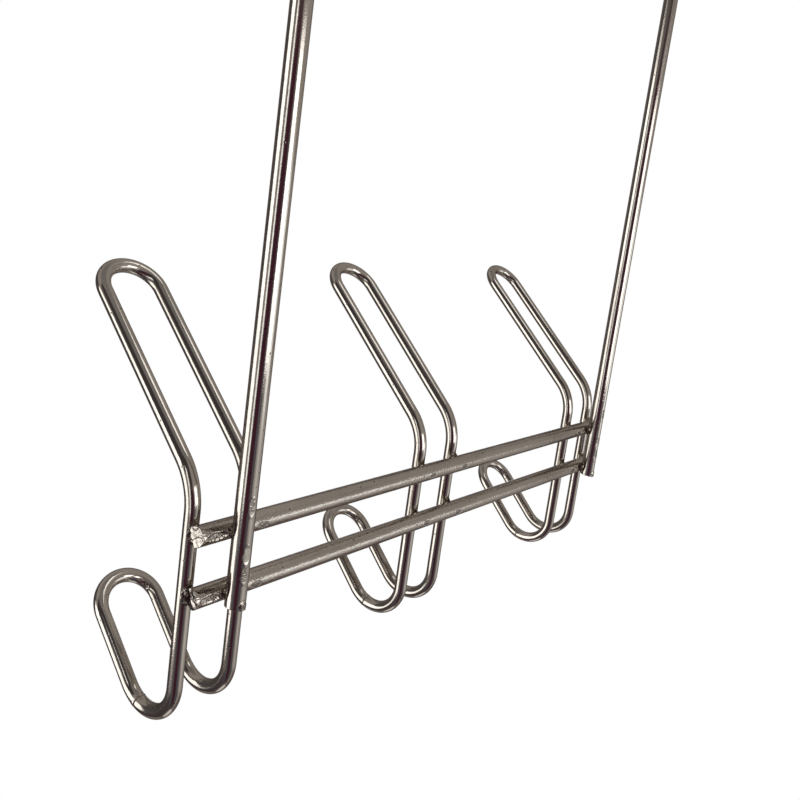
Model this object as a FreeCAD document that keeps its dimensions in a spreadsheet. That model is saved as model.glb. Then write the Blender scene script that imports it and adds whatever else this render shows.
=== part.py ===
import FreeCAD, Part
import os

import Sketcher

# A welded wire hook rack that hangs over the top of a door. Two cross rods carry three double
# hooks on their front, and two hangers on their back go up, over the door and down behind it.
#
# Frame, in millimetres: +Z is up, +X runs along the cross rods, and the hooks point along -Y.
# The origin is on the door's top edge, under the hangers and in the middle of the door's
# thickness. The door fills the gap between a hanger's front leg and its rear leg.

SIZES = (
    # wire
    ("rod_diameter", 6.0),          # cross rods and hangers
    ("wire_diameter", 4.5),         # hooks
    ("set_down", 0.5),              # how far two crossing wires sink into each other at a weld
    # cross rods
    ("rod_length", 235.0),
    ("rod_climb", 0.45),            # degrees that they rise towards +X, welded a little askew
    ("rod_spacing", 18.25),         # from one cross rod's axis to the other's
    ("seat_rise", 212.8),           # from the upper cross rod's middle up to the door's top edge
    # places along the cross rods
    ("end_hook_offset", 106.75),    # a hanger stands behind the middle of each end hook
    ("middle_hook_offset", 5.5),    # the middle hook is a little nearer the +X end
    # a hook: two parallel legs with a half ring at each end
    ("loop_width", 19.5),           # from one leg's axis to the other's
    ("prong_rise", 6.0),            # the upper prong starts to bend this far above the upper rod
    ("prong_bend", 18.0),           # radius
    ("prong_lean", 48.5),           # degrees from upright
    ("prong_length", 58.0),
    ("hook_drop", 28.15),           # the lower hook starts to bend this far below the lower rod
    ("hook_bend", 12.5),            # radius
    ("hook_lean", 47.0),            # degrees from upright
    ("hook_length", 22.0),
    ("seam_turn", 102.0),           # degrees round the lower bend to the wire's butt weld
    ("seam_bead", 0.3),             # how far the butt weld stands out of the wire
    # a hanger
    ("door_gap", 45.0),             # between the front leg and the rear leg
    ("top_bend", 9.0),              # radius
    ("rear_drop", 17.0),            # the rear leg's reach below the door's top edge
    ("tail", 2.9),                  # the front leg's reach below the lower cross rod's axis
    # a resistance weld's squeezed-out metal, as half sizes
    ("blob_depth", 1.2),            # along Y
    ("hook_blob_width", 2.9),       # along the cross rod
    ("hook_blob_height", 2.9),
    ("hanger_blob_width", 3.7),
    ("hanger_blob_height", 3.2),
)

# Places that follow from the sizes, as expressions on the sheet's cells.
HANGER_Y = "-(dims.door_gap + dims.rod_diameter) / 2"
HANGER_TO_ROD = "(dims.rod_diameter - dims.set_down)"
HOOK_TO_ROD = "((dims.rod_diameter + dims.wire_diameter) / 2 - dims.set_down)"
ROD_Y = f"{HANGER_Y} - {HANGER_TO_ROD}"
HOOK_Y = f"{ROD_Y} - {HOOK_TO_ROD}"
UPPER_Z = "-dims.seat_rise"
LOWER_Z = "-dims.seat_rise - dims.rod_spacing"

# Names, with each piece's place along X, or a cross rod's height.
HOOKS = (
    ("hook_plus_x", "dims.end_hook_offset"),
    ("hook_middle", "dims.middle_hook_offset"),
    ("hook_minus_x", "-dims.end_hook_offset"),
)
HANGERS = (
    ("hanger_plus_x", "dims.end_hook_offset"),
    ("hanger_minus_x", "-dims.end_hook_offset"),
)
RODS = (
    ("upper", UPPER_Z),
    ("lower", LOWER_Z),
)

# Sketcher's own numbers for a sketch's origin, its upright axis and an edge's points.
ORIGIN = -1
UPRIGHT_AXIS = -2
START = 1
END = 2
CENTRE = 3

AXIS_X = FreeCAD.Vector(1, 0, 0)
AXIS_Y = FreeCAD.Vector(0, 1, 0)
AXIS_Z = FreeCAD.Vector(0, 0, 1)

doc = FreeCAD.newDocument("hook_rack")
sheet = doc.addObject("Spreadsheet::Sheet", "dims")


def fill_sheet():
    for row, (alias, value) in enumerate(SIZES, start=1):
        sheet.set(f"A{row}", alias)
        sheet.set(f"B{row}", str(value))
        sheet.setAlias(f"B{row}", alias)
    doc.recompute()


def size(expression):
    """The value of an expression on the sheet's cells, where a shape needs a first guess."""
    value = sheet.evalExpression(expression)
    return float(getattr(value, "Value", value))


def place(item, x="0", y="0", z="0", holder="Placement"):
    for axis, expression in (("x", x), ("y", y), ("z", z)):
        item.setExpression(f"{holder}.Base.{axis}", expression)


def turn(item, axis, degrees, holder="Placement"):
    base = getattr(item, holder).Base
    setattr(item, holder, FreeCAD.Placement(base, FreeCAD.Rotation(axis, size(degrees))))
    item.setExpression(f"{holder}.Rotation.Angle", f"({degrees}) * 1 deg")


def lean_back(item, degrees, holder="Placement"):
    """Turn an item about X, so that its own Z leans from upright towards the front."""
    turn(item, AXIS_X, degrees, holder)


# Sketches

def new_body(name, x, y, z):
    body = doc.addObject("PartDesign::Body", name)
    body.Label = name
    place(body, x, y, z)
    return body


def new_sketch(body, name, role):
    plane = next(item for item in body.Origin.OriginFeatures if item.Role == role)
    sketch = body.newObject("Sketcher::SketchObject", name)
    sketch.AttachmentSupport = [(plane, "")]
    sketch.MapMode = "FlatFace"
    return sketch


def set_size(sketch, expression, kind, *where):
    """Add one dimension to a sketch and bind it to the sheet."""
    value = size(expression)
    if kind == "Angle":
        value = FreeCAD.Units.Quantity(f"{value} deg").getValueAs("rad").Value
        expression = f"({expression}) * 1 deg"
    number = sketch.addConstraint(Sketcher.Constraint(kind, *where, value))
    sketch.setExpression(f"Constraints[{number}]", expression)


def add_circle(sketch, across, up, radius):
    centre = FreeCAD.Vector(size(across), size(up), 0)
    circle = sketch.addGeometry(Part.Circle(centre, AXIS_Z, size(radius)), False)
    set_size(sketch, across, "DistanceX", ORIGIN, START, circle, CENTRE)
    set_size(sketch, up, "DistanceY", ORIGIN, START, circle, CENTRE)
    set_size(sketch, radius, "Radius", circle)


def add_line(sketch, start, end):
    return sketch.addGeometry(Part.LineSegment(start, end), False)


def add_arc(sketch, centre, first, turn):
    """An arc from a point round a centre, drawn anticlockwise; turn is in degrees, signed."""
    spoke = first - centre
    middle = centre + FreeCAD.Rotation(AXIS_Z, turn / 2).multVec(spoke)
    last = centre + FreeCAD.Rotation(AXIS_Z, turn).multVec(spoke)
    return sketch.addGeometry(Part.Arc(first, middle, last), False)


def join(sketch, first, first_point, second, second_point):
    sketch.addConstraint(Sketcher.Constraint("Tangent", first, first_point, second, second_point))


def sweep(body, section, path):
    pipe = body.newObject("PartDesign::AdditivePipe", "wire")
    pipe.Profile = section
    pipe.Spine = path
    return pipe


# Cross rods

def rod_height(z, x):
    """The height of a cross rod's axis at a place along X, where z is its middle's."""
    return f"{z} + ({x}) * tan(dims.rod_climb * 1 deg)"


def cross_rod(name, z):
    """A round rod, with an upright shallow saddle where each wire that crosses it is welded in."""
    body = new_body(name, "0", ROD_Y, z)
    turn(body, -AXIS_Y, "dims.rod_climb")
    end = new_sketch(body, "end", "YZ_Plane")
    add_circle(end, "0", "0", "dims.rod_diameter / 2")
    bar = body.newObject("PartDesign::Pad", "bar")
    bar.Profile = end
    bar.SideType = "Symmetric"
    bar.setExpression("Length", "dims.rod_length")

    crossings = new_sketch(body, "crossings", "XY_Plane")
    turn(crossings, AXIS_Y, "dims.rod_climb", holder="AttachmentOffset")
    for _, hook_x in HOOKS:
        for side in ("+", "-"):
            leg_x = f"{hook_x} {side} dims.loop_width / 2"
            add_circle(crossings, leg_x, f"-{HOOK_TO_ROD}", "dims.wire_diameter / 2")
    for _, hanger_x in HANGERS:
        add_circle(crossings, hanger_x, HANGER_TO_ROD, "dims.rod_diameter / 2")
    saddles = body.newObject("PartDesign::Pocket", "saddles")
    saddles.Profile = crossings
    saddles.SideType = "Symmetric"
    saddles.setExpression("Length", "2 * dims.rod_diameter")
    return body


# Hooks. A hook's own origin is between its legs, level with the upper cross rod's axis.

def leg_path(body):
    """A leg's axis from the side: prong, upper bend, upright, lower bend, lower prong."""
    path = new_sketch(body, "leg", "YZ_Plane")
    path.setExpression("AttachmentOffset.Base.z", "dims.loop_width / 2")

    rise = FreeCAD.Vector(0, size("dims.prong_rise"), 0)
    upper_centre = rise - AXIS_X * size("dims.prong_bend")
    lean = FreeCAD.Rotation(AXIS_Z, size("dims.prong_lean"))
    prong_foot = upper_centre + lean.multVec(rise - upper_centre)
    prong_tip = prong_foot + lean.multVec(FreeCAD.Vector(0, size("dims.prong_length"), 0))

    drop = FreeCAD.Vector(0, size("-dims.rod_spacing - dims.hook_drop"), 0)
    lower_centre = drop - AXIS_X * size("dims.hook_bend")
    lower_turn = size("dims.hook_lean - 180")
    around = FreeCAD.Rotation(AXIS_Z, lower_turn)
    hook_foot = lower_centre + around.multVec(drop - lower_centre)
    hook_tip = hook_foot - around.multVec(FreeCAD.Vector(0, size("dims.hook_length"), 0))

    prong = add_line(path, prong_tip, prong_foot)
    upper_bend = add_arc(path, upper_centre, rise, size("dims.prong_lean"))
    upright = add_line(path, rise, drop)
    lower_bend = add_arc(path, lower_centre, drop, lower_turn)
    lower_prong = add_line(path, hook_foot, hook_tip)

    join(path, prong, END, upper_bend, END)
    join(path, upper_bend, START, upright, START)
    join(path, upright, END, lower_bend, END)
    join(path, lower_bend, START, lower_prong, START)
    path.addConstraint(Sketcher.Constraint("Vertical", upright))
    path.addConstraint(Sketcher.Constraint("PointOnObject", upright, START, UPRIGHT_AXIS))
    set_size(path, "dims.prong_rise", "DistanceY", ORIGIN, START, upright, START)
    set_size(path, "dims.rod_spacing + dims.hook_drop", "DistanceY", upright, END, ORIGIN, START)
    set_size(path, "dims.prong_bend", "Radius", upper_bend)
    set_size(path, "dims.prong_lean", "Angle", upper_bend)
    set_size(path, "dims.prong_length", "Distance", prong)
    set_size(path, "dims.hook_bend", "Radius", lower_bend)
    set_size(path, "180 - dims.hook_lean", "Angle", lower_bend)
    set_size(path, "dims.hook_length", "Distance", lower_prong)
    return path


def tip_section(body, name, y, z, lean):
    """The wire's section at a leg's tip, square to the leg; the sketch's origin is mid-loop."""
    section = new_sketch(body, name, "XY_Plane")
    place(section, y=y, z=z, holder="AttachmentOffset")
    lean_back(section, lean, holder="AttachmentOffset")
    add_circle(section, "dims.loop_width / 2", "0", "dims.wire_diameter / 2")
    return section


def half_ring(body, name, section):
    """The round end of the loop, from one leg's tip over to the other's."""
    ring = body.newObject("PartDesign::Revolution", name)
    ring.Profile = section
    ring.ReferenceAxis = (section, ["V_Axis"])
    ring.Angle = 180
    ring.Reversed = True
    return ring


def double_hook(name, x):
    body = new_body(name, x, HOOK_Y, UPPER_Z)
    path = leg_path(body)
    upper_tip = tip_section(
        body,
        "upper_tip",
        "-dims.prong_bend * (1 - cos(dims.prong_lean * 1 deg))"
        " - dims.prong_length * sin(dims.prong_lean * 1 deg)",
        "dims.prong_rise + dims.prong_bend * sin(dims.prong_lean * 1 deg)"
        " + dims.prong_length * cos(dims.prong_lean * 1 deg)",
        "dims.prong_lean",
    )
    lower_tip = tip_section(
        body,
        "lower_tip",
        "-dims.hook_bend * (1 + cos(dims.hook_lean * 1 deg))"
        " - dims.hook_length * sin(dims.hook_lean * 1 deg)",
        "-dims.rod_spacing - dims.hook_drop - dims.hook_bend * sin(dims.hook_lean * 1 deg)"
        " + dims.hook_length * cos(dims.hook_lean * 1 deg)",
        "dims.hook_lean",
    )
    leg = sweep(body, upper_tip, path)
    doc.recompute()
    half_ring(body, "upper_ring", upper_tip)
    half_ring(body, "lower_ring", lower_tip)
    doc.recompute()
    other_leg = body.newObject("PartDesign::Mirrored", "other_leg")
    other_leg.Originals = [leg]
    middle = next(item for item in body.Origin.OriginFeatures if item.Role == "YZ_Plane")
    other_leg.MirrorPlane = (middle, [""])
    body.Tip = other_leg
    return body


# Hangers

def hanger_path(body, foot_z):
    """A hanger's axis from the side: up the front, over the door, down the back."""
    path = new_sketch(body, "path", "YZ_Plane")
    top = size("dims.rod_diameter / 2")
    across = size("dims.door_gap + dims.rod_diameter")
    bend = size("dims.top_bend")
    front_foot = FreeCAD.Vector(0, size(foot_z), 0)
    front_top = FreeCAD.Vector(0, top - bend, 0)
    rear_top = FreeCAD.Vector(across, top - bend, 0)
    rear_foot = FreeCAD.Vector(across, size("-dims.rear_drop"), 0)
    front_centre = front_top + AXIS_X * bend
    rear_centre = rear_top - AXIS_X * bend

    front_leg = add_line(path, front_foot, front_top)
    front_bend = add_arc(path, front_centre, front_top, -90)
    bridge = add_line(
        path,
        front_centre + FreeCAD.Vector(0, bend, 0),
        rear_centre + FreeCAD.Vector(0, bend, 0),
    )
    rear_bend = add_arc(path, rear_centre, rear_top, 90)
    rear_leg = add_line(path, rear_top, rear_foot)

    join(path, front_leg, END, front_bend, END)
    join(path, front_bend, START, bridge, START)
    join(path, bridge, END, rear_bend, END)
    join(path, rear_bend, START, rear_leg, START)
    path.addConstraint(Sketcher.Constraint("Vertical", front_leg))
    path.addConstraint(Sketcher.Constraint("Horizontal", bridge))
    path.addConstraint(Sketcher.Constraint("Vertical", rear_leg))
    path.addConstraint(Sketcher.Constraint("PointOnObject", front_leg, START, UPRIGHT_AXIS))
    path.addConstraint(Sketcher.Constraint("Equal", front_bend, rear_bend))
    set_size(path, "dims.top_bend", "Radius", front_bend)
    set_size(path, "dims.rod_diameter / 2", "DistanceY", ORIGIN, START, bridge, START)
    set_size(path, f"-({foot_z})", "DistanceY", front_leg, START, ORIGIN, START)
    set_size(
        path,
        "dims.door_gap + dims.rod_diameter",
        "DistanceX", ORIGIN, START, rear_leg, END,
    )
    set_size(path, "dims.rear_drop", "DistanceY", rear_leg, END, ORIGIN, START)
    return path


def hanger(name, x):
    """A hanger, whose front leg ends a little below the lower cross rod."""
    body = new_body(name, x, HANGER_Y, "0")
    foot_z = f"{rod_height(LOWER_Z, x)} - dims.tail"
    path = hanger_path(body, foot_z)
    foot = new_sketch(body, "foot", "XY_Plane")
    place(foot, z=foot_z, holder="AttachmentOffset")
    add_circle(foot, "0", "0", "dims.rod_diameter / 2")
    sweep(body, foot, path)
    return body


# Welds

def cut(name, base, *tools):
    """The base less every tool, so that neighbours meet face to face."""
    for number, tool in enumerate(tools):
        trimmed = doc.addObject("Part::Cut", f"{name}_cut_{number}")
        trimmed.Base = base
        trimmed.Tool = tool
        base = trimmed
    return base


def weld_blob(name, x, y, z, width, height, *wires):
    """The metal squeezed out all round the place where two wires were pressed together."""
    blob = doc.addObject("Part::Ellipsoid", f"{name}_blob")
    place(blob, x, y, z)
    blob.setExpression("Radius1", height)
    blob.setExpression("Radius2", width)
    blob.setExpression("Radius3", "dims.blob_depth")
    return cut(name, blob, *wires)


def hook_welds(hook_name, hook_x, rod_name, rod_z, hook, rod):
    """The two welds, one on each leg, that hold a hook on one cross rod."""
    welds = []
    for side, sign in (("plus", "+"), ("minus", "-")):
        leg_x = f"{hook_x} {sign} dims.loop_width / 2"
        welds.append(weld_blob(
            f"{hook_name}_{rod_name}_{side}",
            leg_x,
            f"{ROD_Y} - (dims.rod_diameter - dims.set_down) / 2",
            rod_height(rod_z, leg_x),
            "dims.hook_blob_width",
            "dims.hook_blob_height",
            hook,
            rod,
        ))
    group = doc.addObject("Part::Compound", f"{hook_name}_{rod_name}_welds")
    group.Links = welds
    group.Label = group.Name
    return group


def hanger_weld(hanger_name, hanger_x, rod_name, rod_z, post, rod):
    weld = weld_blob(
        f"{hanger_name}_{rod_name}",
        hanger_x,
        f"{ROD_Y} + (dims.rod_diameter - dims.set_down) / 2",
        rod_height(rod_z, hanger_x),
        "dims.hanger_blob_width",
        "dims.hanger_blob_height",
        post,
        rod,
    )
    weld.Label = f"{hanger_name}_{rod_name}_weld"
    return weld


def hook_seam(hook_name, hook_x):
    """The raised ring at the butt weld that closes the loop, on the lower bend's +X leg."""
    ring = doc.addObject("Part::Torus", f"{hook_name}_seam_ring")
    ring.setExpression("Radius1", "dims.wire_diameter / 2")
    ring.setExpression("Radius2", "dims.seam_bead")
    bore = doc.addObject("Part::Cylinder", f"{hook_name}_seam_bore")
    bore.setExpression("Radius", "dims.wire_diameter / 2")
    bore.setExpression("Height", "4 * dims.seam_bead")
    place(bore, z="-2 * dims.seam_bead")
    seam = cut(f"{hook_name}_seam", ring, bore)
    seam.Label = f"{hook_name}_seam"
    place(
        seam,
        f"{hook_x} + dims.loop_width / 2",
        f"{HOOK_Y} - dims.hook_bend * (1 - cos(dims.seam_turn * 1 deg))",
        f"{LOWER_Z} - dims.hook_drop - dims.hook_bend * sin(dims.seam_turn * 1 deg)",
    )
    lean_back(seam, "180 - dims.seam_turn")
    return seam


# Assembly

def build():
    rods = {name: cross_rod(f"{name}_cross_rod", z) for name, z in RODS}
    nodes = list(rods.values())
    for hook_name, hook_x in HOOKS:
        hook = double_hook(hook_name, hook_x)
        nodes.append(hook)
        for rod_name, rod_z in RODS:
            nodes.append(hook_welds(hook_name, hook_x, rod_name, rod_z, hook, rods[rod_name]))
        nodes.append(hook_seam(hook_name, hook_x))
    for hanger_name, hanger_x in HANGERS:
        post = hanger(hanger_name, hanger_x)
        nodes.append(post)
        for rod_name, rod_z in RODS:
            nodes.append(hanger_weld(hanger_name, hanger_x, rod_name, rod_z, post, rods[rod_name]))
    doc.recompute()
    return nodes


def check(nodes):
    """Stop if anything in the document failed, before any file is written."""
    for item in doc.Objects:
        if {"Invalid", "Error"} & set(item.State):
            raise RuntimeError(f"{item.Label} failed: {item.State}")
        if item.TypeId == "Sketcher::SketchObject" and not item.FullyConstrained:
            raise RuntimeError(f"{item.Label} is not fully constrained")
    for node in nodes:
        if node.Shape.isNull() or not node.Shape.isValid():
            raise RuntimeError(f"{node.Label} has no valid shape")


def write(nodes):
    os.makedirs("parts", exist_ok=True)
    for node in nodes:
        node.Shape.exportStep(f"parts/{node.Label}.step")
        box = node.Shape.BoundBox
        print(
            f"{node.Label}: {len(node.Shape.Solids)} solid(s), {node.Shape.Volume:.1f} mm3,"
            f" X {box.XMin:.1f} to {box.XMax:.1f}, Y {box.YMin:.1f} to {box.YMax:.1f},"
            f" Z {box.ZMin:.1f} to {box.ZMax:.1f}"
        )


fill_sheet()
pieces = build()
check(pieces)
write(pieces)
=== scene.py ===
import math

import bmesh
import bpy
from mathutils import Matrix, Vector, noise


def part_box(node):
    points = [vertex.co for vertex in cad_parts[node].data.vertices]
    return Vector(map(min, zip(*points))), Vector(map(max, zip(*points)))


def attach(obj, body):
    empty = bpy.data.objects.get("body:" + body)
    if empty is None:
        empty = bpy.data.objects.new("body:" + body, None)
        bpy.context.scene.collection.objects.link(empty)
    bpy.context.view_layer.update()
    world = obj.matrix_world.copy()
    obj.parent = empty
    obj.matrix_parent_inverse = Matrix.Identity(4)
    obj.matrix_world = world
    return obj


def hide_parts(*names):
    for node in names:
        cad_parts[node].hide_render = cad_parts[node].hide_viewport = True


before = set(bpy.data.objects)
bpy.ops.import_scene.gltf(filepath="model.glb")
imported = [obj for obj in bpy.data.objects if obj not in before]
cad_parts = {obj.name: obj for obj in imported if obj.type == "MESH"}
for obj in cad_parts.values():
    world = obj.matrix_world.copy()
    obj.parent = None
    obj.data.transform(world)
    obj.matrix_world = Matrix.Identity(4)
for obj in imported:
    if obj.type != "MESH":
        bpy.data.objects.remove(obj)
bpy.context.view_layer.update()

# A welded wire hook rack for the top of a door, in nickel-plated steel. Every wire is swept again
# along the CAD model's own line, finely enough for its cut ends, electrode dents and butt weld to
# be shapes, and every weld gets the rough metal that was squeezed out of it. Lengths are in metres.

MM = 0.001

# The wires, where a node's box doesn't say, on their axes. A hook's uprights start HOOK_DROP below
# the lower rod and end PRONG_RISE above the upper one. Its butt weld is SEAM_TURN round the lower
# bend from an upright's foot. It has a nick NICK_REACH before the upper loop's end, and another
# NICK_REACH past the lower loop's start.
ROD_CLIMB = math.radians(0.45)
WIRE_RADIUS = 2.25 * MM
PRONG_RISE = 6 * MM
PRONG_BEND = 18 * MM
PRONG_LEAN = math.radians(48.5)
PRONG_LENGTH = 58 * MM
HOOK_DROP = 28.15 * MM
HOOK_BEND = 12.5 * MM
HOOK_TURN = math.radians(133)
HOOK_LENGTH = 22 * MM
SEAM_TURN = math.radians(102)
NICK_REACH = 5 * MM
TOP_BEND = 9 * MM
REAR_DROP = 17 * MM

# The welds: how far two wires sink into each other, half of the flash's depth, and half of its
# width at a hook's leg and at a hanger
SET_DOWN = 0.5 * MM
FLASH_DEPTH = 0.9 * MM
HOOK_FLASH = 2.4 * MM
HANGER_FLASH = 2.7 * MM

# The lip beside a butt weld: its loops round the wire and its sides, how far it stands out, half of
# its width along the wire, and how far before the weld its middle is
LIP_LOOPS = 96
LIP_SIDES = 10
LIP_RISE = 0.08 * MM
LIP_REACH = 0.3 * MM
LIP_OFFSET = 0.35 * MM

# How finely a wire is divided: round it, in steps along it, each within a reach of a mark, and
# from the middle of its cut face to the rounded edge
SIDES = 48
ROD_SIDES = 64
STEPS = ((1.5 * MM, 0.1 * MM), (8 * MM, 0.25 * MM), (math.inf, 0.8 * MM))
CUT_RINGS = 13
CUT_EDGE = 0.15 * MM

# The cuts across the wires' ends: how far a cut's middle stands out, how deep the step at its back
# is, how far it slants over the wire's radius, and the way that it faces. Angles round a wire are
# from +Y downwards on a rod, and from +X towards +Y at a hanger's or a hook's foot.
ROD_CUTS = {"upper": (1.1 * MM, 1.2 * MM, 0.55 * MM, -0.3),
            "lower": (0.3 * MM, 0.1 * MM, 0.5 * MM, 3.0)}
ROD_FAR_CUT = (0.1 * MM, 0.4 * MM, 0.3 * MM, 2.0)
HANGER_CUTS = ((0.0, 0.3 * MM, -0.5 * MM, 2.24), (0.0, 0.25 * MM, 0.2 * MM, 4.0))

# The dents. A rod's first one is near its +X end, long and deep, and the others are behind the
# hooks' other legs. A hanger has some near its welds: which rod, how far above it, and how pitted.
END_DENT = 3.9 * MM
HANGER_DENTS = (("upper", 8.9 * MM, 1.0), ("upper", -4.9 * MM, 0.1), ("lower", 7.5 * MM, 1.0))

HOOKS = ("hook_plus_x", "hook_middle", "hook_minus_x")
HANGERS = ("hanger_plus_x", "hanger_minus_x")
RODS = ("upper", "lower")

AXIS_X = Vector((1, 0, 0))
AXIS_Y = Vector((0, 1, 0))
AXIS_Z = Vector((0, 0, 1))


def smooth(start, end, value):
    """From 0 at start to 1 at end, flat at both."""
    share = min(1.0, max(0.0, (value - start) / (end - start)))
    return share * share * (3 - 2 * share)


def grain(point, size, seed):
    """Noise from -1 to 1, with lumps of about that size."""
    return noise.noise(point / size + Vector((seed, 2.7 * seed, -seed)))


def middle(node):
    low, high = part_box(node)
    return (low + high) / 2


def add_object(name, data):
    """A new object of the scene."""
    item = bpy.data.objects.new(name, data)
    bpy.context.scene.collection.objects.link(item)
    return item


def rod_height(row, x):
    """The height of a cross rod's axis at a place along X. The rods rise a little towards +X."""
    return middle(f"{row}_cross_rod").z + x * math.tan(ROD_CLIMB)


# Wires: a pen walks along the axis and leaves a station at every step

def frame_at(origin, side, heading):
    """A place whose X is along side and whose Z is along heading."""
    turn = Matrix((side, heading.cross(side), heading)).transposed()
    return Matrix.Translation(origin) @ turn.to_4x4()


def along_arc(radius, turn, angle, axis):
    """The move along an arc about the pen's own X or Y; the sign of turn gives its direction."""
    reach = math.copysign(radius, turn)
    centre = Vector((0, -reach, 0)) if axis == "X" else Vector((reach, 0, 0))
    spin = Matrix.Rotation(math.copysign(angle, turn), 4, axis)
    return Matrix.Translation(centre) @ spin @ Matrix.Translation(-centre)


class Pen:
    """Walks along a wire's axis, towards its own Z, in smaller steps near the marks. A station is
    a place on the axis and how far along it is."""

    def __init__(self, place, marks):
        self.place = place
        self.marks = marks
        self.travel = 0.0
        self.stations = [(place.copy(), 0.0)]

    def run(self, length):
        self.walk(length, lambda size: Matrix.Translation((0, 0, size)))

    def bend(self, radius, turn, axis="X"):
        self.walk(radius * abs(turn), lambda size: along_arc(radius, turn, size / radius, axis))

    def walk(self, left, move):
        while left > 1e-9:
            gap = min(abs(self.travel - mark) for mark in self.marks)
            size = next(step for reach, step in STEPS if gap < reach)
            size = left if left < 1.5 * size else size
            self.place = self.place @ move(size)
            self.travel += size
            left -= size
            self.stations.append((self.place.copy(), self.travel))


class Dent:
    """An oval pressed into a wire, with a ragged rim and a floor that is pitted as much as pitting
    says. Its centre is at a travel along the wire and at an angle round it."""

    def __init__(self, travel, angle, length, width, depth, seed, pitting=1.0):
        self.travel = travel
        self.angle = angle
        self.length = length
        self.width = width
        self.depth = depth
        self.seed = seed
        self.pitting = pitting

    def at(self, travel, angle, radius):
        """How far the surface moves out here, and how scarred it is, from 0 to 1."""
        along = travel - self.travel
        across = math.remainder(angle - self.angle, math.tau) * radius
        if abs(along) > self.length or abs(across) > self.width:
            return 0.0, 0.0
        spot = Vector((along, across, 0))
        spread = math.hypot(2 * along / self.length, 2 * across / self.width)
        spread += 0.3 * grain(spot, self.width, self.seed)
        floor = smooth(1.15, 0.75, spread)
        rim = math.exp(-(((spread - 1.1) / 0.14) ** 2))
        pits = floor * self.pitting * grain(spot, 0.55 * MM, self.seed)
        return self.depth * (0.7 * rim - floor + 0.8 * pits), self.pitting * floor


class Seam:
    """The dark line where a loop's two ends were butted together, at travel 0, with a low swelling
    beside it that was filed. around is the loop's whole length."""

    REACH = 6 * MM
    SWELLING = 2.2 * MM
    CRACK = 0.13 * MM

    def __init__(self, around):
        self.around = around

    def at(self, travel, angle, radius):
        """As for a dent."""
        gap = math.remainder(travel, self.around)
        if abs(gap) > self.REACH:
            return 0.0, 0.0
        spot = Vector((math.cos(angle) * radius, math.sin(angle) * radius, gap))
        crack = math.exp(-((gap / self.CRACK) ** 2))
        swell = smooth(self.SWELLING, 0, abs(gap)) * (1.0 if gap < 0 else 0.45)
        dressed = swell * grain(spot, 0.8 * MM, 4.0)
        rise = (0.05 * swell + 0.04 * dressed - 0.28 * crack) * MM
        filed = smooth(2.5 * MM, 0.5 * MM, abs(gap) + 1.5 * MM * grain(spot, 1.5 * MM, 8.0))
        return rise, max(crack, 0.35 * filed)


def wire(name, stations, radius, scars, cuts=None, sides=SIDES, seed=0.0):
    """A tube round the stations. Without cuts it is a closed loop, and otherwise it has two cut
    ends, each as in ROD_CUTS. Each point keeps its place on the straightened wire for the
    material, and how scarred it is."""
    mesh = bmesh.new()
    on_wire = mesh.verts.layers.float_vector.new("on_wire")
    scarred = mesh.verts.layers.float.new("scarred")

    def ring(place, travel, size=radius, face=None):
        loop = []
        for number in range(sides):
            angle = number / sides * math.tau
            marks = [scar.at(travel, angle, radius) for scar in scars]
            out = size * (1 + sum(rise for rise, _ in marks) / radius)
            point = Vector((math.cos(angle) * out, math.sin(angle) * out, 0))
            if face:
                point.z = face(point)
            vert = mesh.verts.new(place @ point)
            vert[on_wire] = (math.cos(angle) * size, math.sin(angle) * size, travel)
            vert[scarred] = max([mark for _, mark in marks], default=0.0)
            if face:
                vert[scarred] = 0.55 + 0.45 * grain(point, 1.3 * MM, seed + 2)
            loop.append(vert)
        return loop

    def cut_end(place, travel, outward, reach, step, slant, way):
        """Rings from the middle of the cut face out over its rounded edge. The shears left the
        face slanted and torn, with a step across it."""
        rings = [(0.0, (radius - CUT_EDGE) * (number + 0.5) / (CUT_RINGS - 0.5))
                 for number in range(CUT_RINGS)]
        for angle in (math.pi / 6, math.pi / 3, math.pi / 2):
            inset = CUT_EDGE * (1 - math.cos(angle))
            rings.append((inset, radius - CUT_EDGE + CUT_EDGE * math.sin(angle)))
        loops = []
        for inset, size in rings:
            def face(point, inset=inset):
                across = (point.x * math.cos(way) + point.y * math.sin(way)) / radius
                drop = 1 - smooth(-0.7, -0.5, across + 0.3 * grain(point, 1.2 * MM, seed))
                torn = 0.28 * grain(point, 1.5 * MM, seed) + 0.07 * grain(point, 0.5 * MM, seed)
                return outward * (reach - step * drop - slant * across + torn * MM - inset)
            loops.append(ring(place, travel, size, face))
        return loops

    if cuts is None:
        loops = [ring(place, travel) for place, travel in stations[:-1]]
        pairs = list(zip(loops, loops[1:] + loops[:1]))
    else:
        total = stations[-1][1]
        body = [(place, travel) for place, travel in stations
                if 1.5 * CUT_EDGE < travel < total - 1.5 * CUT_EDGE]
        loops = cut_end(*stations[0], -1, *cuts[0])
        loops += [ring(place, travel) for place, travel in body]
        loops += reversed(cut_end(*stations[-1], 1, *cuts[1]))
        pairs = list(zip(loops, loops[1:]))
        mesh.faces.new(reversed(loops[0]))
        mesh.faces.new(loops[-1])
    for first, second in pairs:
        for number in range(sides):
            after = (number + 1) % sides
            mesh.faces.new((first[number], first[after], second[after], second[number]))
    return to_object(name, mesh)


def to_object(name, mesh):
    bmesh.ops.recalc_face_normals(mesh, faces=mesh.faces)
    data = bpy.data.meshes.new(name)
    mesh.to_mesh(data)
    mesh.free()
    data.shade_smooth()
    return add_object(name, data)


def stand_for(piece, node, slot):
    """The piece is shown in place of a CAD node, with the finish of one of the record's slots."""
    piece.data.materials.append(FINISHES[slot])
    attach(piece, "root")
    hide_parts(node)


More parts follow.
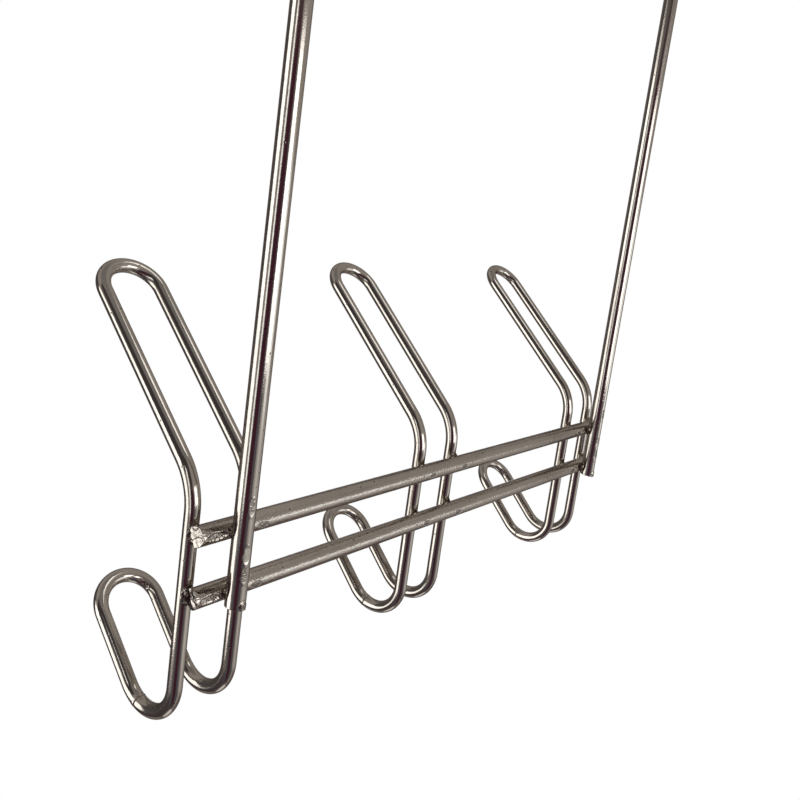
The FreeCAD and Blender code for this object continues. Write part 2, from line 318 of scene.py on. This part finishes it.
def cross_rod(row):
    """A rod from its +X end to its -X end, dented where the hooks were pressed on from behind."""
    node = f"{row}_cross_rod"
    low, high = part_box(node)
    length = high.x - low.x
    heading = Vector((-math.cos(ROD_CLIMB), 0, -math.sin(ROD_CLIMB)))
    start = middle(node) - heading * length / 2
    seed = 5.0 if row == "upper" else 7.3
    marks = [0.0, length]
    dents = []
    for hook in HOOKS:
        hook_low, hook_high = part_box(hook)
        for leg_x in (hook_high.x - WIRE_RADIUS, hook_low.x + WIRE_RADIUS):
            travel = high.x - leg_x
            marks.append(travel)
            if travel < END_DENT:
                dents.append(Dent(travel=END_DENT, angle=-0.05, length=6.5 * MM, width=2.3 * MM,
                                  depth=0.28 * MM, seed=seed))
            else:
                dents.append(Dent(travel=travel, angle=0.1, length=4 * MM, width=2.2 * MM,
                                  depth=0.07 * MM, seed=seed + travel / MM))
    pen = Pen(frame_at(start, AXIS_Y, heading), marks)
    pen.run(length)
    cuts = ROD_CUTS[row], ROD_FAR_CUT
    radius = (high.y - low.y) / 2
    piece = wire(f"{node}_rod", pen.stations, radius, dents, cuts, ROD_SIDES, seed)
    stand_for(piece, node, "rod_plate")


def hanger(node):
    """A hanger from its foot up, over the door's top and down behind it. Its foot has a burr."""
    low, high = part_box(node)
    radius = (high.x - low.x) / 2
    foot = Vector((middle(node).x, low.y + radius, low.z))
    rise = high.z - radius - TOP_BEND
    dents = []
    for row, above, pitting in HANGER_DENTS:
        travel = rod_height(row, middle(node).x) - low.z + above
        dents.append(Dent(travel=travel, angle=1.48, length=5 * MM, width=1.9 * MM,
                          depth=0.15 * MM, seed=travel / MM, pitting=pitting))
    burr = Dent(travel=0.7 * MM, angle=1.8, length=3 * MM, width=3 * MM, depth=-0.2 * MM, seed=12.0)
    dents.append(burr)
    pen = Pen(frame_at(foot, AXIS_X, AXIS_Z), [0.0] + [dent.travel for dent in dents])
    pen.run(rise - low.z)
    pen.bend(TOP_BEND, -math.pi / 2)
    pen.run(high.y - low.y - 2 * radius - 2 * TOP_BEND)
    pen.bend(TOP_BEND, -math.pi / 2)
    pen.run(rise + REAR_DROP)
    piece = wire(f"{node}_rod", pen.stations, radius, dents, HANGER_CUTS, seed=9.0)
    stand_for(piece, node, "wire_plate")


def double_hook(node):
    """The loop starts and ends at its butt weld, on the lower bend of its +X leg. Returns the
    weld's place."""
    low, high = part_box(node)
    lower_z = middle("lower_cross_rod").z
    upright = HOOK_DROP + middle("upper_cross_rod").z - lower_z + PRONG_RISE
    leg_offset = (high.x - low.x) / 2 - WIRE_RADIUS
    foot = Vector((middle(node).x + leg_offset, high.y - WIRE_RADIUS, lower_z - HOOK_DROP))
    leg = frame_at(foot, AXIS_X, AXIS_Z)
    seam = leg @ along_arc(HOOK_BEND, 1, SEAM_TURN, "X").inverted()
    around = 2 * (HOOK_BEND * HOOK_TURN + HOOK_LENGTH + upright + PRONG_BEND * PRONG_LEAN
                  + PRONG_LENGTH + leg_offset * math.pi)
    lower_start = around - HOOK_BEND * (HOOK_TURN - SEAM_TURN) - HOOK_LENGTH - leg_offset * math.pi
    upper_end = around / 2 - HOOK_BEND * (HOOK_TURN - SEAM_TURN) - HOOK_LENGTH
    nicks = [Dent(travel=travel, angle=-2.75, length=2.6 * MM, width=1.5 * MM, depth=0.13 * MM,
                  seed=travel / MM)
             for travel in (upper_end - NICK_REACH, lower_start + NICK_REACH)]
    pen = Pen(seam, [0.0, around] + [nick.travel for nick in nicks])
    pen.bend(HOOK_BEND, SEAM_TURN)
    pen.run(upright)
    pen.bend(PRONG_BEND, PRONG_LEAN)
    pen.run(PRONG_LENGTH)
    pen.bend(leg_offset, -math.pi, "Y")
    pen.run(PRONG_LENGTH)
    pen.bend(PRONG_BEND, PRONG_LEAN)
    pen.run(upright)
    pen.bend(HOOK_BEND, HOOK_TURN)
    pen.run(HOOK_LENGTH)
    pen.bend(leg_offset, -math.pi, "Y")
    pen.run(HOOK_LENGTH)
    pen.bend(HOOK_BEND, HOOK_TURN - SEAM_TURN)
    piece = wire(f"{node}_wire", pen.stations, WIRE_RADIUS, [Seam(around)] + nicks)
    stand_for(piece, node, "wire_plate")
    return seam


# Welds

def add_flash(mesh, centre, width, height, torn, seed):
    """Metal squeezed out round a crossing: a flat lens, lumpy at its rim, with a burnt and torn
    ear that stands up above the cross rod and another below it. width and height are halves."""
    burnt = mesh.verts.layers.float.get("burnt") or mesh.verts.layers.float.new("burnt")
    ball = bmesh.ops.create_icosphere(mesh, subdivisions=5, radius=1)
    for vert in ball["verts"]:
        ray = vert.co.normalized()
        shape = Vector((ray.x * width, ray.y * FLASH_DEPTH, ray.z * height))
        rim = math.hypot(ray.x, ray.z)
        ear = smooth(0.8, 1.0, abs(ray.z)) * (0.6 + grain(ray, 0.3, seed + 5))
        lumps = 0.10 * grain(ray, 0.45, seed) + 0.05 * grain(ray, 0.16, seed)
        vert.co = centre + shape * (0.94 + rim * (lumps + torn * ear))
        vert[burnt] = smooth(0.7, 0.95, abs(ray.z))


def hook_welds(hook, row, number):
    node = f"{hook}_{row}_welds"
    low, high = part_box(node)
    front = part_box(f"{row}_cross_rod")[0].y + SET_DOWN / 2
    mesh = bmesh.new()
    for side, x in enumerate((high.x - HOOK_FLASH, low.x + HOOK_FLASH)):
        centre = Vector((x, front, rod_height(row, x)))
        add_flash(mesh, centre, width=HOOK_FLASH, height=(high.z - low.z) / 2, torn=0.3,
                  seed=3.7 * number + 1.9 * side)
    stand_for(to_object(f"{node}_flash", mesh), node, "weld_metal")


def hanger_weld(hanger_node, row, number):
    node = f"{hanger_node}_{row}_weld"
    low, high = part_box(node)
    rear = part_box(f"{row}_cross_rod")[1].y - SET_DOWN / 2
    mesh = bmesh.new()
    centre = Vector((middle(node).x, rear, middle(node).z))
    add_flash(mesh, centre, width=HANGER_FLASH, height=0.8 * (high.z - low.z) / 2, torn=0.15,
              seed=40 + 2.3 * number)
    stand_for(to_object(f"{node}_flash", mesh), node, "weld_metal")


def seam_lip(hook, place, number):
    """The lip of metal left on one side of the butt weld, thick in places and dressed off in
    others."""
    mesh = bmesh.new()
    loops = []
    for turn in range(LIP_LOOPS):
        angle = turn / LIP_LOOPS * math.tau
        ray = Vector((math.cos(angle), math.sin(angle), 0))
        thick = max(0.25, 0.75 + 1.1 * grain(ray, 0.5, 3.1 * number))
        loop = []
        for step in range(LIP_SIDES):
            slant = step / LIP_SIDES * math.tau
            out = WIRE_RADIUS + LIP_RISE * thick * math.cos(slant)
            along = LIP_REACH * thick * math.sin(slant) - LIP_OFFSET
            loop.append(mesh.verts.new(place @ (ray * out + AXIS_Z * along)))
        loops.append(loop)
    for first, second in zip(loops, loops[1:] + loops[:1]):
        for step in range(LIP_SIDES):
            after = (step + 1) % LIP_SIDES
            mesh.faces.new((first[step], first[after], second[after], second[step]))
    stand_for(to_object(f"{hook}_seam_lip", mesh), f"{hook}_seam", "seam_metal")


# Materials. The noises' scales are in lumps per metre, and where there are three, the last is
# along the wire. Bumps' heights are in metres.

DRAWING_LINES = (2600, 2600, 90)
GLOSS_CLOUDS = (160, 160, 45)
PIT_SCALE = 260
TORN_SCALE = 2300
LUMP_SCALE = 1100
CRUST_SCALE = 2600
PIT_DEPTH = 0.03 * MM
TORN_HEIGHT = 0.12 * MM
LUMP_HEIGHT = 0.14 * MM
CRUST_HEIGHT = 0.07 * MM
SPECULAR_TINT = (0.45, 0.42, 0.42, 1)
PIT_COLOUR = (0.12, 0.10, 0.09, 1)
BURNT_PLATE = (0.16, 0.13, 0.12, 1)
BURNT_FLASH = (0.09, 0.06, 0.045, 1)


class Nodes:
    """A short way to write a node tree: each call makes a node and returns one of its outputs."""

    def __init__(self, tree):
        self.tree = tree

    def make(self, kind, output=0, inputs=None, **settings):
        node = self.tree.nodes.new(kind)
        for key, value in settings.items():
            setattr(node, key, value)
        for key, value in (inputs or {}).items():
            if isinstance(value, bpy.types.NodeSocket):
                self.tree.links.new(value, node.inputs[key])
            else:
                node.inputs[key].default_value = value
        return node.outputs[output]

    def math(self, operation, first, second=0.0):
        return self.make("ShaderNodeMath", inputs={0: first, 1: second}, operation=operation)

    def noise(self, vector, scale, detail=2.0):
        return self.make("ShaderNodeTexNoise", inputs={"Vector": vector, "Scale": scale,
                                                       "Detail": detail})

    def stretched(self, vector, scale):
        return self.make("ShaderNodeMapping", inputs={"Vector": vector, "Scale": scale})

    def span(self, value, low, high, start=0.0, end=1.0):
        """The value's range from low to high, mapped to start to end and held there."""
        return self.make("ShaderNodeMapRange", inputs={
            "Value": value, "From Min": low, "From Max": high, "To Min": start, "To Max": end})

    def mix(self, share, first, second):
        """A mix of two colours. Their sockets share their names with others, so they go by number."""
        return self.make("ShaderNodeMix", output=2, inputs={0: share, 6: first, 7: second},
                         data_type="RGBA")

    def bump(self, height, distance, normal=None):
        inputs = {"Height": height, "Distance": distance}
        if normal:
            inputs["Normal"] = normal
        return self.make("ShaderNodeBump", inputs=inputs)


def metal(name):
    """A new metal, a short way to write its nodes, and its shader's inputs."""
    material = bpy.data.materials.new(name)
    material.use_nodes = True
    shader = material.node_tree.nodes["Principled BSDF"]
    shader.inputs["Metallic"].default_value = 1
    shader.inputs["Specular Tint"].default_value = SPECULAR_TINT
    return material, Nodes(material.node_tree), shader.inputs


def plated(name, colour, roughness, grain_scale, grain_height, streak_height):
    """Nickel plate over drawn steel: fine grain, drawing lines along the wire, clouded gloss,
    and a few pits. Dents, seams and cut ends are torn."""
    material, nodes, inputs = metal(name)
    link = material.node_tree.links.new
    place = nodes.make("ShaderNodeAttribute", "Vector", attribute_name="on_wire")
    scar = nodes.make("ShaderNodeAttribute", "Fac", attribute_name="scarred")
    streaks = nodes.noise(nodes.stretched(place, DRAWING_LINES), 1.0, 3.0)
    specks = nodes.noise(nodes.stretched(place, grain_scale), 1.0, 2.0)
    clouds = nodes.noise(nodes.stretched(place, GLOSS_CLOUDS), 1.0, 3.0)
    cells = nodes.make("ShaderNodeTexVoronoi", "Distance",
                       inputs={"Vector": place, "Scale": PIT_SCALE})
    pits = nodes.span(cells, 0.05, 0.09, 1.0, 0.0)

    clouded = nodes.math("ADD", nodes.span(clouds, 0.35, 0.7, -0.05, 0.08), roughness)
    streaked = nodes.math("ADD", clouded, nodes.span(streaks, 0.3, 0.7, -0.03, 0.04))
    link(streaked, inputs["Roughness"])

    dark = [0.8 * part for part in colour] + [1]
    tint = nodes.mix(nodes.span(clouds, 0.4, 0.75), (*colour, 1), dark)
    burnt = nodes.mix(nodes.span(scar, 0.5, 1.0, 0.0, 0.6), tint, BURNT_PLATE)
    link(nodes.mix(pits, burnt, PIT_COLOUR), inputs["Base Color"])

    normal = nodes.bump(specks, grain_height)
    normal = nodes.bump(streaks, streak_height, normal)
    normal = nodes.bump(pits, -PIT_DEPTH, normal)
    torn = nodes.math("MULTIPLY", nodes.noise(place, TORN_SCALE, 1.0), scar)
    link(nodes.bump(torn, TORN_HEIGHT, normal), inputs["Normal"])
    return material


def crusted(name, colour, roughness):
    """Squeezed-out metal, plated as it was: lumpy, crusted, with shade painted into its hollows,
    and darker where it is burnt."""
    material, nodes, inputs = metal(name)
    link = material.node_tree.links.new
    place = nodes.make("ShaderNodeTexCoord", "Object")
    burnt = nodes.make("ShaderNodeAttribute", "Fac", attribute_name="burnt")
    lumps = nodes.noise(place, LUMP_SCALE, 2.0)
    crust = nodes.noise(place, CRUST_SCALE, 1.0)
    # Painted shade: the hollows between the lumps are coloured darker, following the bump's own
    # noise.
    hollow_painted_shade = [0.35 * part for part in colour] + [1]
    tint = nodes.mix(nodes.span(lumps, 0.38, 0.55), hollow_painted_shade, (*colour, 1))
    link(nodes.mix(burnt, tint, BURNT_FLASH), inputs["Base Color"])
    link(nodes.span(crust, 0.3, 0.7, roughness - 0.08, roughness + 0.14), inputs["Roughness"])
    normal = nodes.bump(lumps, LUMP_HEIGHT)
    link(nodes.bump(crust, CRUST_HEIGHT, normal), inputs["Normal"])
    return material


# Studio. Angles are in degrees, with azimuths from +X towards +Y.

CENTRE = Vector((0, -0.03, -0.14))
CAMERA_PLACE = Vector((0.26013, 0.13914, -0.11156))
CAMERA_YAW, CAMERA_PITCH, CAMERA_ROLL = 128.11, -9.256, 7.772
CAMERA_AZIMUTH = CAMERA_YAW + 90
CAMERA_LENS = 38.66
CAMERA_SHIFT = -0.0964
FLOOR_HEIGHT = -2
FLOOR_RADIUS = 0.4
FLOOR_COLOUR = (0.85, 0.85, 0.85, 1)

ROOM_COLOUR = (0.36, 0.33, 0.31, 1)

# What stands round the rack, each over the ones before it: azimuth, elevation, width, height, blur
# of its edge, and colour
PANELS = (
    # darker walls to the camera's left
    (-115, -14, 90, 74, 16, (0.20, 0.18, 0.178, 1)),
    (-63, -14, 46, 74, 12, (0.095, 0.085, 0.088, 1)),
    # a bright wall to its right, with a window
    (130, -18, 34, 34, 14, (0.62, 0.61, 0.60, 1)),
    (128, -8, 28, 16, 5, (1.3, 1.32, 1.36, 1)),
    # dark furniture above a dark floor behind it, deep red at its middle
    (24, 36, 88, 52, 16, (0.058, 0.051, 0.054, 1)),
    (20, -54, 170, 40, 12, (0.075, 0.062, 0.068, 1)),
    (50, -26, 90, 64, 10, (0.105, 0.099, 0.12, 1)),
    (50, -24, 38, 72, 10, (0.062, 0.019, 0.031, 1)),
    # past the bright wall: brown floor, a pale patch above it, and a dim one above the wall
    (165, -54, 50, 30, 14, (0.19, 0.15, 0.145, 1)),
    (160, -24, 34, 18, 10, (0.46, 0.44, 0.43, 1)),
    (147, 31, 16, 7, 5, (0.24, 0.22, 0.20, 1)),
)

# The ceiling and the floor's middle, over the panels: axis, half width, blur of its edge, colour
CONES = (
    (AXIS_Z, 30, 16, (0.23, 0.215, 0.21, 1)),
    (-AXIS_Z, 18, 8, (0.20, 0.165, 0.16, 1)),
)


def aim(azimuth, elevation):
    """The unit vector in a direction."""
    azimuth, elevation = math.radians(azimuth), math.radians(elevation)
    flat = math.cos(elevation)
    return Vector((flat * math.cos(azimuth), flat * math.sin(azimuth), math.sin(elevation)))


def softbox(name, azimuth, elevation, distance, width, height, radiance):
    """A soft rectangular lamp that faces the rack and is that bright to look at."""
    lamp = bpy.data.lights.new(name, "AREA")
    lamp.shape = "RECTANGLE"
    lamp.size, lamp.size_y = width, height
    lamp.energy = radiance * math.pi * width * height
    item = add_object(name, lamp)
    item.location = CENTRE + distance * aim(azimuth, elevation)
    item.rotation_mode = "QUATERNION"
    item.rotation_quaternion = (-aim(azimuth, elevation)).to_track_quat("-Z", "Y")


def shows_white(nodes, also_glossy):
    """1 for the rays that see the white background: straight from the camera, through glass, and
    off metal where also_glossy is 1."""
    path = nodes.make("ShaderNodeLightPath").node.outputs
    glossy = nodes.math("MULTIPLY", path["Is Glossy Ray"], also_glossy)
    seen = nodes.math("MAXIMUM", path["Is Camera Ray"], path["Is Transmission Ray"])
    return nodes.math("MAXIMUM", seen, glossy)


def room():
    """A grey room with the panels and cones in it, and a white background past the rack."""
    world = bpy.data.worlds.new("room")
    world.use_nodes = True
    nodes = Nodes(world.node_tree)
    way = nodes.make("ShaderNodeTexCoord", "Generated")

    def edge(distance, half, blur):
        """1 where a distance in radians is under half, and 0 past it, over a blurred edge."""
        return nodes.make("ShaderNodeMapRange", interpolation_type="SMOOTHSTEP", inputs={
            "Value": distance, "From Min": math.radians(half + blur / 2),
            "From Max": math.radians(half - blur / 2)})

    def panel(azimuth, elevation, width, height, blur):
        """1 in the directions of an upright rectangle."""
        turned = nodes.make("ShaderNodeVectorRotate", rotation_type="Z_AXIS",
                            inputs={"Vector": way, "Angle": -math.radians(azimuth)})
        parts = nodes.make("ShaderNodeSeparateXYZ", inputs={0: turned}).node.outputs
        aside = nodes.math("ABSOLUTE", nodes.math("ARCTAN2", parts["Y"], parts["X"]))
        level = nodes.math("SUBTRACT", nodes.math("ARCSINE", parts["Z"]), math.radians(elevation))
        return nodes.math("MULTIPLY", edge(aside, width / 2, blur),
                          edge(nodes.math("ABSOLUTE", level), height / 2, blur))

    def cone(axis, half, blur):
        """1 in the directions that are less than half from an axis."""
        apart = nodes.make("ShaderNodeVectorMath", "Value", operation="DOT_PRODUCT",
                           inputs={0: way, 1: axis})
        return edge(nodes.math("ARCCOSINE", apart), half, blur)

    colour = ROOM_COLOUR
    for *shape, paint in PANELS:
        colour = nodes.mix(panel(*shape), colour, paint)
    for *shape, paint in CONES:
        colour = nodes.mix(cone(*shape), colour, paint)
    behind = cone(aim(CAMERA_AZIMUTH, CAMERA_PITCH), 13, 6)
    colour = nodes.mix(shows_white(nodes, behind), colour, (1, 1, 1, 1))
    world.node_tree.links.new(colour, world.node_tree.nodes["Background"].inputs["Color"])
    bpy.context.scene.world = world


def floor():
    """A pale floor well below the rack, which hangs from a door. It fades into the background."""
    data = bpy.data.meshes.new("floor")
    mesh = bmesh.new()
    bmesh.ops.create_circle(mesh, cap_ends=True, segments=96, radius=FLOOR_RADIUS,
                            matrix=Matrix.Translation((0, 0, FLOOR_HEIGHT)))
    mesh.to_mesh(data)
    mesh.free()
    item = add_object("floor", data)
    material = bpy.data.materials.new("floor")
    material.use_nodes = True
    tree = material.node_tree
    nodes = Nodes(tree)
    shader = tree.nodes["Principled BSDF"]
    shader.inputs["Base Color"].default_value = FLOOR_COLOUR
    shader.inputs["Roughness"].default_value = 0.9
    white = nodes.make("ShaderNodeEmission")
    place = nodes.stretched(nodes.make("ShaderNodeTexCoord", "Object"), (1, 1, 0))
    reach = nodes.make("ShaderNodeVectorMath", "Value", operation="LENGTH", inputs={0: place})
    faded = nodes.span(reach, FLOOR_RADIUS / 4, FLOOR_RADIUS, 0.8, 1.0)
    share = nodes.math("MULTIPLY", shows_white(nodes, 1.0), faded)
    seen = nodes.make("ShaderNodeMixShader", inputs={0: share, 1: shader.outputs[0], 2: white})
    tree.links.new(seen, tree.nodes["Material Output"].inputs["Surface"])
    data.materials.append(material)


def camera():
    data = bpy.data.cameras.new("camera")
    data.sensor_width = 36
    data.lens = CAMERA_LENS
    data.shift_y = CAMERA_SHIFT
    item = add_object("camera", data)
    item.matrix_world = (Matrix.Translation(CAMERA_PLACE)
                         @ Matrix.Rotation(math.radians(CAMERA_YAW), 4, "Z")
                         @ Matrix.Rotation(math.radians(90 + CAMERA_PITCH), 4, "X")
                         @ Matrix.Rotation(math.radians(CAMERA_ROLL), 4, "Z"))
    bpy.context.scene.camera = item


# Assembly

FINISHES = {
    "rod_plate": plated("satin_nickel", colour=(0.61, 0.565, 0.505), roughness=0.04,
                        grain_scale=(1800, 1800, 1200), grain_height=0.11 * MM,
                        streak_height=0.004 * MM),
    "wire_plate": plated("bright_nickel", colour=(0.62, 0.58, 0.52), roughness=0.10,
                         grain_scale=(2600, 2600, 1800), grain_height=0.010 * MM,
                         streak_height=0.003 * MM),
    "weld_metal": crusted("weld_flash", colour=(0.52, 0.46, 0.40), roughness=0.18),
    "seam_metal": crusted("seam_flash", colour=(0.60, 0.56, 0.50), roughness=0.18),
}

for row in RODS:
    cross_rod(row)
for number, hook in enumerate(HOOKS):
    seam_place = double_hook(hook)
    seam_lip(hook, seam_place, number)
    for level, row in enumerate(RODS):
        hook_welds(hook, row, 2 * number + level)
for number, node in enumerate(HANGERS):
    hanger(node)
    for level, row in enumerate(RODS):
        hanger_weld(node, row, 2 * number + level)

room()
floor()
softbox("left_window", azimuth=-27, elevation=-9.4, distance=2.5, width=1.58, height=2.06,
        radiance=1.7)
softbox("right_window", azimuth=94, elevation=-1, distance=0.72, width=0.52, height=0.36,
        radiance=2.1)
softbox("strip_light", azimuth=14.5, elevation=-4, distance=0.45, width=0.08, height=0.34,
        radiance=1.3)
softbox("ceiling_light", azimuth=124, elevation=71, distance=0.39, width=0.16, height=0.16,
        radiance=1.2)
camera()
bpy.context.scene.view_settings.view_transform = "Standard"
